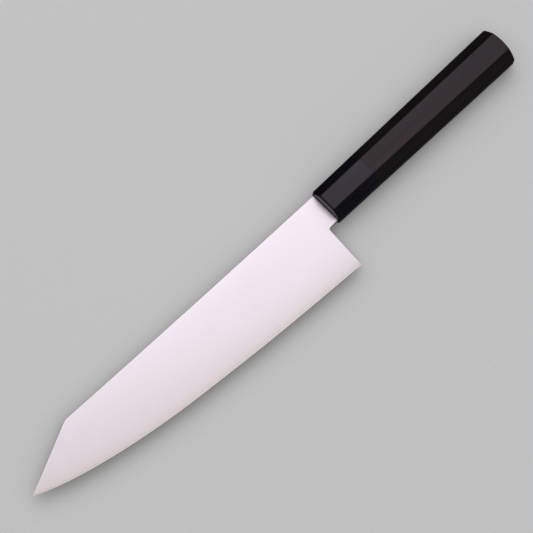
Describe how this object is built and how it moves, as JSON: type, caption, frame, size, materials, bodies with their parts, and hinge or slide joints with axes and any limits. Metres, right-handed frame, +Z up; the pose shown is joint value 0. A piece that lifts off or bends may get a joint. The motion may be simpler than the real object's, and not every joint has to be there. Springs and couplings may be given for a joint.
{
  "type": "chef knife",
  "caption": "Chef's knife lying on its side: wide double-ground satin steel blade with a clipped point, short neck, horn ferrule and octagonal ebony hidden-tang handle.",
  "frame": {"origin": "middle of the bottom of the bounding box; the bottom is the plane of the handle's lower flat facet, on which the knife lies", "axes": "+X from the point to the butt along the handle, +Y from the cutting edge to the spine, +Z up through the thickness, with the blade's mid-plane at half the handle's thickness"},
  "size_m": [0.3998, 0.0534, 0.02],
  "materials": {
    "blade_steel": "fine satin, ground across the blade, eased spine",
    "ferrule_horn": "black buffalo horn, rubbed to a soft polish",
    "handle_ebony": "ebony, fine grained, oiled satin",
    "dowel_wood": "pale plain wood, unfinished",
    "adhesive": "cured dark epoxy resin"
  },
  "bodies": {
    "root": {"blade": "blade_steel", "ferrule": "ferrule_horn", "handle_body": "handle_ebony", "handle_dowel": "dowel_wood", "tang_adhesive": "adhesive"}
  },
  "joints": []
}
